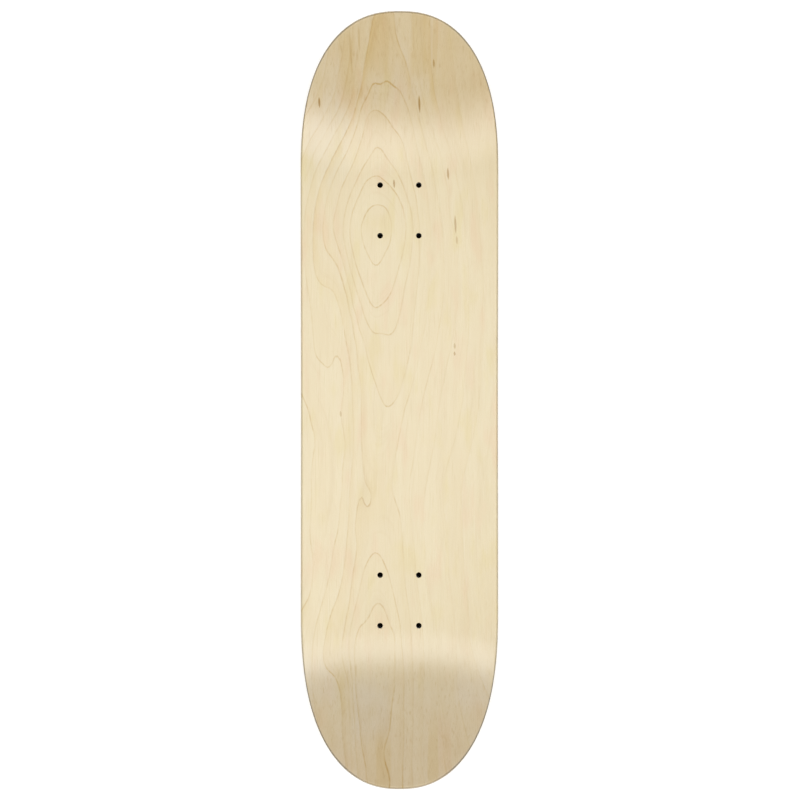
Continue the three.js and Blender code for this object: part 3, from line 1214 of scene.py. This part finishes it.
@dataclass
class Press:
    """The mould and the drill, as one Geometry Nodes tree that forms a flat blank.

    Args:
        board: the board's sizes.
        wall: the finish of the drilled holes.
        drill_sides: facets round a hole.
    """

    board: Board
    wall: bpy.types.Material
    drill_sides: int = 48

    def __post_init__(self) -> None:
        """Builds the tree."""
        self.lengths = self._named_lengths()
        inputs = {"Blank": Socket.GEOMETRY, "Wood": Socket.MATERIAL, "Wall": Socket.MATERIAL}
        inputs |= dict.fromkeys(self.lengths, Socket.FLOAT)
        self.graph = Graph.group("press_and_drill", "GeometryNodeTree", inputs, ["Sheet"])
        self.graph.output(Sheet=self._drilled(self._pressed(self.graph.given["Blank"])))

    def _named_lengths(self) -> dict[str, float]:
        """The sizes that the tree takes, by the names of its inputs.

        Returns:
            Lengths in metres, slopes and shares.
        """
        board = self.board
        ends = {}
        for word, kick in (("Nose", board.nose), ("Tail", board.tail)):
            ends[f"{word} Kick Start"] = board.outer_holes(kick) + kick.start
            ends[f"{word} Bend"] = kick.bend
            ends[f"{word} Slope"] = kick.slope
        return ends | {
            "Flat Strip": board.flat_strip,
            "Dish Span": board.dish_span,
            "Dish Depth": board.dish_depth,
            "Kick Dish Share": board.kick_dish_share,
            "Edge Radius": board.edge_radius,
            "Thickness": board.thickness,
            "Hole Diameter": board.bolt_hole,
            "Bolts Across": board.bolt_across,
            "Bolts Along": board.bolt_along,
            "Front Truck": board.truck(board.nose),
            "Rear Truck": -board.truck(board.tail),
        }

    def _pressed(self, blank: Field) -> Field:
        """Bends the blank to the board's shape.

        Args:
            blank: geometry whose points hold the place in the outline and the level in the board.

        Returns:
            The bent geometry.
        """
        graph, size = self.graph, self.graph.given
        x, y, level = graph.split(graph.read("GeometryNodeInputPosition"))
        lost = 1.0 - size["Kick Dish Share"]
        beyond = graph.math("MAXIMUM", graph.math("ABSOLUTE", x) - size["Flat Strip"] * 0.5, 0.0)
        share = beyond / size["Dish Span"]
        dish = size["Dish Depth"] * share * share
        dish_slope = graph.math("SIGN", x) * 2.0 * size["Dish Depth"] * share / size["Dish Span"]

        is_nose = graph.math("GREATER_THAN", y, 0.0)

        def of_end(word: str) -> Field:
            """A size of the end that the point lies in."""
            return size[f"Nose {word}"] * is_nose + size[f"Tail {word}"] * (1.0 - is_nose)

        start, bend, slope = of_end("Kick Start"), of_end("Bend"), of_end("Slope")
        run = graph.math("ABSOLUTE", y) - start - dish * lost / slope
        bent = graph.math("ADD", run / bend, 0.0, clamp=True)
        rise = dish + slope * bent * (run - bend * bent * 0.5)
        slope_x = dish_slope * (1.0 - lost * bent)
        slope_y = graph.math("SIGN", y) * slope * bent
        steep = graph.math("SQRT", 1.0 + slope_x * slope_x + slope_y * slope_y)
        height = (level - size["Edge Radius"]) / steep
        place = graph.join(x - slope_x * height, y - slope_y * height, size["Edge Radius"] + rise + height)
        return graph.read("GeometryNodeSetPosition", {"Geometry": blank, "Position": place})

    def _repeated(self, points: Field, shape: Field) -> Field:
        """A shape at each of some points, as real geometry."""
        copies = self.graph.read("GeometryNodeInstanceOnPoints", {"Points": points, "Instance": shape})
        return self.graph.read("GeometryNodeRealizeInstances", {"Geometry": copies})

    def _drilled(self, sheet: Field) -> Field:
        """Cuts the eight bolt holes and gives the sheet its wood.

        Args:
            sheet: the bent geometry.

        Returns:
            The drilled geometry, with its two materials.
        """
        graph, size = self.graph, self.graph.given
        pattern = {
            "Vertices X": 2,
            "Vertices Y": 2,
            "Size X": size["Bolts Across"],
            "Size Y": size["Bolts Along"],
        }
        start = graph.join(0.0, size["Rear Truck"], size["Thickness"] * 0.5)
        between = graph.join(0.0, size["Front Truck"] - size["Rear Truck"], 0.0)
        trucks = graph.read("GeometryNodeMeshLine", {"Count": 2, "Start Location": start, "Offset": between})
        places = self._repeated(trucks, graph.read("GeometryNodeMeshGrid", pattern))
        radius, depth = size["Hole Diameter"] * 0.5, size["Thickness"] * 2.0
        cylinder = {"Vertices": self.drill_sides, "Radius": radius, "Depth": depth}
        drills = self._repeated(places, graph.read("GeometryNodeMeshCylinder", cylinder))
        drills_with_wall = graph.read("GeometryNodeSetMaterial", {"Geometry": drills, "Material": size["Wall"]})
        solids = {"Mesh 1": sheet, "Mesh 2": drills_with_wall}
        cut = graph.read("GeometryNodeMeshBoolean", solids, operation="DIFFERENCE", solver="EXACT")
        whole = graph.read("GeometryNodeRealizeInstances", {"Geometry": cut})
        is_wall = graph.read("GeometryNodeMaterialSelection", {"Material": size["Wall"]})
        is_wood = graph.read("FunctionNodeBooleanMath", {0: is_wall}, operation="NOT")
        wooden = {"Geometry": whole, "Selection": is_wood, "Material": size["Wood"]}
        return graph.read("GeometryNodeSetMaterial", wooden)

    def form(self, blank: bpy.types.Mesh, name: str, wood: bpy.types.Material) -> bpy.types.Object:
        """Presses and drills a blank.

        Args:
            blank: the flat sheet or sheets.
            name: the piece's name.
            wood: the finish of the sheet.

        Returns:
            The formed piece, as a plain mesh at the origin.
        """
        piece = place_in_scene(name, blank)
        modifier = piece.modifiers.new("press", "NODES")
        modifier.node_group = self.graph.tree
        values = self.lengths | {"Wood": wood, "Wall": self.wall}
        for item in self.graph.tree.interface.items_tree:
            if item.in_out == "INPUT" and item.name in values:
                modifier[item.identifier] = values[item.name]
        evaluated = piece.evaluated_get(bpy.context.evaluated_depsgraph_get())
        formed = bpy.data.meshes.new_from_object(evaluated)
        piece.modifiers.remove(modifier)
        piece.data = formed
        formed.name = name
        bpy.data.meshes.remove(blank)
        formed.shade_smooth()
        formed.set_sharp_from_angle(angle=math.radians(SHARP_ANGLE))
        return piece


@dataclass
class Sheet:
    """A flat blank between two levels of the board, with the rounded edge already on it.

    Args:
        board: the board's sizes.
        outline: the board's outline.
        bottom: the lower level.
        top: the upper level.
        columns: faces across each side.
        recess: how far the blank's edge lies inside the board's.
        edge_steps: faces up the edge.
        points: its points, which hold the place in the outline and the level.
        faces: its faces.
    """

    board: Board
    outline: Outline
    bottom: float
    top: float
    columns: int
    recess: float = 0.0
    edge_steps: int = 6
    points: list[tuple[float, float, float]] = field(default_factory=list)
    faces: list[tuple[int, ...]] = field(default_factory=list)

    def __post_init__(self) -> None:
        """Fills the points and the faces, which close round the blank."""
        rings = [self._grid(self.bottom, facing_up=False)]
        rings += [self._ring(level) for level in self._edge_levels()]
        rings.append(self._grid(self.top, facing_up=True))
        for below, above in zip(rings, rings[1:]):
            for index, here in enumerate(below):
                after = (index + 1) % len(below)
                self.faces.append((here, below[after], above[after], above[index]))

    def build(self, name: str) -> bpy.types.Mesh:
        """Makes the blank's mesh, marked with how far down the rounded edge each point lies.

        Args:
            name: the mesh's name.

        Returns:
            The mesh.
        """
        mesh = mesh_of(name, self.points, self.faces)
        levels = np.array(self.points)[:, 2]
        depths = np.minimum(levels, self.board.thickness - levels) / self.board.edge_radius
        attribute = mesh.attributes.new("edge_depth", "FLOAT", "POINT")
        attribute.data.foreach_set("value", np.clip(depths, 0, 1))
        return mesh

    def _edge_levels(self) -> list[float]:
        """Levels between the two faces at which the edge has a ring of points.

        Returns:
            The levels from the bottom up, dense where the edge is round.
        """
        board = self.board
        turns = []
        for level in (self.bottom, self.top):
            low, from_face = level <= board.thickness / 2, min(level, board.thickness - level)
            turn = math.acos(max(1 - from_face / board.edge_radius, 0.0))
            turns.append(turn if low else math.pi - turn)
        levels = []
        for turn in np.linspace(turns[0], turns[1], self.edge_steps + 1)[1:-1]:
            rise = board.edge_radius * (1 - abs(math.cos(turn)))
            levels.append(rise if turn <= math.pi / 2 else board.thickness - rise)
        return levels if turns[1] > turns[0] else []

    def _place(self, x: float, y: float, level: float) -> int:
        """Adds a point and gives its number."""
        self.points.append((float(x), float(y), float(level)))
        return len(self.points) - 1

    def _ring(self, level: float) -> list[int]:
        """Adds a ring of points round the outline.

        Args:
            level: the ring's level.

        Returns:
            The numbers of its points, anticlockwise from the tail's tip.
        """
        xs, ys = self.outline.inset(self.board.edge_inset(level) + self.recess)
        right = [self._place(x, y, level) for x, y in zip(xs, ys)]
        left = [self._place(-x, y, level) for x, y in zip(xs[-2:0:-1], ys[-2:0:-1])]
        return right + left

    def _grid(self, level: float, facing_up: bool) -> list[int]:
        """Adds a filled sheet of points.

        Args:
            level: the sheet's level.
            facing_up: whether its faces point up.

        Returns:
            The numbers of its outer points, in a ring's order.
        """
        xs, ys = self.outline.inset(self.board.edge_inset(level) + self.recess)
        shares = np.linspace(-1, 1, self.columns + 1)
        rows = []
        for x, y in zip(xs, ys):
            if x == 0.0:
                rows.append([self._place(0.0, y, level)] * len(shares))
            else:
                rows.append([self._place(x * share, y, level) for share in shares])
        for near, far in zip(rows, rows[1:]):
            for column in range(self.columns):
                corners = [near[column], near[column + 1], far[column + 1], far[column]]
                face = tuple(dict.fromkeys(corners))
                self.faces.append(face if facing_up else face[::-1])
        right = [row[-1] for row in rows]
        left = [row[0] for row in rows[-2:0:-1]]
        return right + left


@dataclass(frozen=True)
class Ply:
    """One veneer of the board: its CAD node, the piece that stands for it, its slot and its finish."""

    node: str
    piece: str
    slot: str
    finish: FaceMaple | CoreMaple


EVEN: Colour = (0.995, 0.995, 0.96)
# The underside's region tints are even, so it gets no painted light from them.
UNDERSIDE = FaceMaple(
    "underside_maple", UNDERSIDE_FIGURE, kick_gain=0.3,
    flat_light_tint=EVEN, nose_light_tint=EVEN, tail_shade_tint=EVEN, tail_tip_shade_tint=EVEN,
)
STANDING_FACE = FaceMaple("standing_face_maple", TOP_FIGURE)
CORE = CoreMaple("core_maple", Grain.ALONG, linear(227, 214, 191))
CROSS = CoreMaple("cross_maple", Grain.ACROSS, linear(215, 200, 175))
PLIES = (
    Ply("bottom_face_veneer", "bottom_face_maple", "bottom_face_maple", UNDERSIDE),
    Ply("lower_core_veneer", "lower_core_maple", "core_maple", CORE),
    Ply("lower_cross_veneer", "lower_cross_maple", "cross_maple", CROSS),
    Ply("centre_core_veneer", "centre_core_maple", "core_maple", CORE),
    Ply("upper_cross_veneer", "upper_cross_maple", "cross_maple", CROSS),
    Ply("upper_core_veneer", "upper_core_maple", "core_maple", CORE),
    Ply("top_face_veneer", "top_face_maple", "top_face_maple", STANDING_FACE),
)


@dataclass
class Deck:
    """The pressed board: seven veneers and the glue between them.

    Args:
        board: the board's sizes.
        view: the viewpoint of the picture that the figure was read off.
        tip_rows: rows of faces in each tip.
        face_rows: rows between the tips in the two outer veneers.
        core_rows: rows between the tips in the inner veneers and the glue.
        face_columns: columns of faces in an outer veneer.
        core_columns: columns of faces in an inner one.
        glue_columns: columns of faces in a film of glue.
        glue_edge_steps: faces up its edge.
        glue_recess: how far the glue stops short of the veneers' edge.
        glue_clearance: from a film of glue to the veneers.
    """

    board: Board
    view: Viewpoint
    tip_rows: int = 64
    face_rows: int = 150
    core_rows: int = 50
    face_columns: int = 72
    core_columns: int = 30
    glue_columns: int = 24
    glue_edge_steps: int = 1
    glue_recess: float = 0.05 * MM
    glue_clearance: float = 0.01 * MM

    def __post_init__(self) -> None:
        """Prepares the outlines, the finishes and the press."""
        self.outline = Outline(self.board, self.tip_rows, self.face_rows)
        self.coarse_outline = Outline(self.board, self.tip_rows, self.core_rows)
        groups = WoodGroups()
        finishes = (CORE, CROSS, UNDERSIDE, STANDING_FACE)
        self.materials = {finish.name: finish.build(groups) for finish in finishes}
        self.glue = CuredGlue().build()
        self.press = Press(self.board, DrilledWall().build())

    def build(self) -> list[bpy.types.Object]:
        """Makes every piece and puts it on the frame.

        Returns:
            The pieces, from the underside up, with the glue last.
        """
        pieces = [self._veneer(number, ply) for number, ply in enumerate(PLIES)]
        pieces.append(self._glue_lines())
        for piece in pieces:
            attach(piece, ROOT_BODY)
        return pieces

    def _veneer(self, number: int, ply: Ply) -> bpy.types.Object:
        """Makes one veneer in the place of its CAD node.

        Args:
            number: how many veneers lie under it.
            ply: the veneer.

        Returns:
            The piece.
        """
        bottom = number * self.board.pitch
        is_face = isinstance(ply.finish, FaceMaple)
        outline = self.outline if is_face else self.coarse_outline
        columns = self.face_columns if is_face else self.core_columns
        blank = Sheet(self.board, outline, bottom, bottom + self.board.veneer, columns)
        piece = self.press.form(blank.build(ply.piece), ply.piece, self.materials[ply.finish.name])
        if is_face:
            RingField(ply.finish.figure.lines).mark(piece.data, self.board, self.view)
        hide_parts(ply.node)
        return piece

    def _glue_lines(self) -> bpy.types.Object:
        """Makes the films of glue between the veneers, as one piece.

        Returns:
            The piece.
        """
        points, faces = [], []
        for number in range(1, self.board.plies):
            top = number * self.board.pitch - self.glue_clearance
            bottom = top - self.board.glue + 2 * self.glue_clearance
            film = Sheet(
                self.board, self.coarse_outline, bottom, top,
                columns=self.glue_columns, recess=self.glue_recess, edge_steps=self.glue_edge_steps,
            )
            faces += [tuple(index + len(points) for index in face) for face in film.faces]
            points += film.points
        piece = self.press.form(mesh_of("glue_films", points, faces), "glue_lines", self.glue)
        return piece


@dataclass(frozen=True)
class Panel:
    """A soft rectangular lamp that is turned to the board and that the camera doesn't see.

    Args:
        name: the lamp's name.
        place: its centre.
        size: its width and depth.
        radiance: how bright its face is, where 1 is white.
    """

    name: str
    place: tuple[float, float, float]
    size: tuple[float, float]
    radiance: float

    def build(self) -> None:
        """Adds the lamp."""
        light = bpy.data.lights.new(self.name, "AREA")
        light.shape, (light.size, light.size_y) = "RECTANGLE", self.size
        light.energy = math.pi * self.radiance * light.size * light.size_y
        lamp = place_in_scene(self.name, light)
        lamp.location = self.place
        lamp.rotation_euler = lamp.location.to_track_quat("Z", "Y").to_euler()
        lamp.visible_camera = False


@dataclass(frozen=True)
class Studio:
    """A pale floor, soft lamps and a camera straight above the board.

    Args:
        view: where the camera stands.
        sensor: width of the camera's sensor.
        floor_size: side of the square floor.
        floor_gap: of the floor below the deck.
        floor_white: share of the light that the floor gives back.
        floor_roughness: of the floor.
        hole_shade: how far round a bolt hole the floor under it is dark, in millimetres.
        hole_blur: width of that shade's edge, in millimetres.
        hole_dark: tint of the shade.
        floor_lift: what brings the floor up to white round the deck.
        far_lift: what is added to that far from the deck, where less light falls.
        far_from: distances from the deck at which that starts and is whole.
        sky: strength of the even light from all round.
        panels: the lamps.
    """

    view: Viewpoint
    sensor: float = 36.0
    floor_size: float = 24.0
    floor_gap: float = 0.2 * MM
    floor_white: float = 0.6
    floor_roughness: float = 0.9
    hole_shade: float = 4.8
    hole_blur: float = 1.0
    hole_dark: Colour = (0.002, 0.0015, 0.001)
    floor_lift: float = 0.46
    far_lift: float = 0.6
    far_from: Span = (1.0, 6.0)
    sky: float = 0.16
    panels: tuple[Panel, ...] = (
        Panel("overhead_panel", (0.0, 0.0, 10.0), (9.0, 4.6), 6.7),
        Panel("overhead_spill", (0.0, -0.3, 10.2), (9.0, 9.6), 0.75),
        Panel("far_window", (1.7, -1.8, 9.8), (1.3, 1.3), 7.0),
        Panel("under_panel", (0.0, 0.0, -6.0), (6.0, 6.0), 3.2),
    )

    def build(self, board: Board) -> None:
        """Adds the floor, the lamps, the sky and the camera.

        Args:
            board: the board's sizes.
        """
        self._floor(board)
        self._sky()
        for panel in self.panels:
            panel.build()
        self._camera(board)

    @staticmethod
    def _seen(graph: Graph) -> Field:
        """What the camera and reflections see, as against light that falls on surfaces.

        Args:
            graph: the graph of a material or the world.

        Returns:
            1 for rays that see, and 0 for rays that light.
        """
        names = ("Is Camera Ray", "Is Glossy Ray", "Is Transmission Ray")
        camera, glossy, through = (graph.read("ShaderNodeLightPath", output=name) for name in names)
        return graph.math("MAXIMUM", graph.math("MAXIMUM", camera, glossy), through)

    @staticmethod
    def _from_trucks(graph: Graph, y: Field, board: Board) -> Field:
        """How far a place along the board is from the middle of the nearer truck.

        Args:
            graph: the floor's graph.
            y: the place in millimetres.
            board: the board's sizes.

        Returns:
            The distance in millimetres, with a sign.
        """
        front, rear = board.truck(board.nose) / MM, board.truck(board.tail) / MM
        is_front = graph.math("GREATER_THAN", y, 0.0)
        return y - is_front * (front + rear) + rear

    def _floor(self, board: Board) -> None:
        """Adds a white floor, with painted shade under the bolt holes.

        From below it is clear, and so is it to the lamp under it, so that the underside can be
        seen and is lit.

        Args:
            board: the board's sizes.
        """
        half = self.floor_size / 2
        corners = [(-half, -half), (half, -half), (half, half), (-half, half)]
        mesh = mesh_of("floor", [(x, y, -self.floor_gap) for x, y in corners], [(0, 1, 2, 3)])
        floor = place_in_scene("floor", mesh)
        finish = Finish("floor_white")
        graph = finish.graph
        x, y, _ = graph.split(finish.place())
        distance = graph.math("SQRT", x * x + y * y) * MM
        lift = graph.ramp(distance, *self.far_from) * self.far_lift + self.floor_lift
        beside = graph.math("ABSOLUTE", x) - board.bolt_across / 2 / MM
        along = graph.math("ABSOLUTE", self._from_trucks(graph, y, board)) - board.bolt_along / 2 / MM
        apart = graph.math("SQRT", beside * beside + along * along)
        # painted shade on the floor under each bolt hole, so that the holes look dark
        hidden = graph.ramp(apart * -1.0, -self.hole_shade - self.hole_blur, -self.hole_shade)
        white, grey = (1.0,) * 3, (self.floor_white,) * 3
        colour = graph.tints(white, [(hidden, self.hole_dark), (1.0, grey)])
        glow = graph.tints(white, [(hidden, self.hole_dark)])
        from_below = graph.read("ShaderNodeNewGeometry", output="Backfacing")
        to_lamp = graph.read("ShaderNodeLightPath", output="Is Shadow Ray")
        finish.set(Base_Color=colour, Roughness=self.floor_roughness, Specular_IOR_Level=0.0)
        finish.set(Emission_Color=glow, Emission_Strength=self._seen(graph) * lift)
        finish.set(Alpha=1.0 - graph.math("MAXIMUM", from_below, to_lamp))
        mesh.materials.append(finish.material)

    def _sky(self) -> None:
        """Adds an even white sky, brighter to the camera and in reflections than on the board."""
        world = bpy.data.worlds.new("white_sky")
        world.use_nodes = True
        graph = Graph(world.node_tree)
        background = world.node_tree.nodes["Background"]
        graph.feed(background.inputs["Color"], (1.0, 1.0, 1.0, 1.0))
        graph.feed(background.inputs["Strength"], self._seen(graph) * (1.0 - self.sky) + self.sky)
        bpy.context.scene.world = world

    def _camera(self, board: Board) -> None:
        """Adds a camera over the board, with the nose up in the picture.

        Args:
            board: the board's sizes.
        """
        data = bpy.data.cameras.new("camera")
        data.sensor_width = self.sensor
        data.lens = self.sensor * self.view.height / self.view.span
        camera = place_in_scene("camera", data)
        camera.location = (self.view.x, self.view.y, board.thickness + self.view.height)
        bpy.context.scene.camera = camera


def main() -> None:
    """Builds the deck and its studio, and reports each piece."""
    logging.basicConfig(level=logging.INFO, format="%(name)s: %(message)s")
    bpy.context.scene.view_settings.view_transform = "Standard"
    board, view = Board(), Viewpoint()
    for piece in Deck(board, view).build():
        LOG.info("%s: %d faces", piece.name, len(piece.data.polygons))
    Studio(view).build(board)


if __name__ == "__main__":
    main()
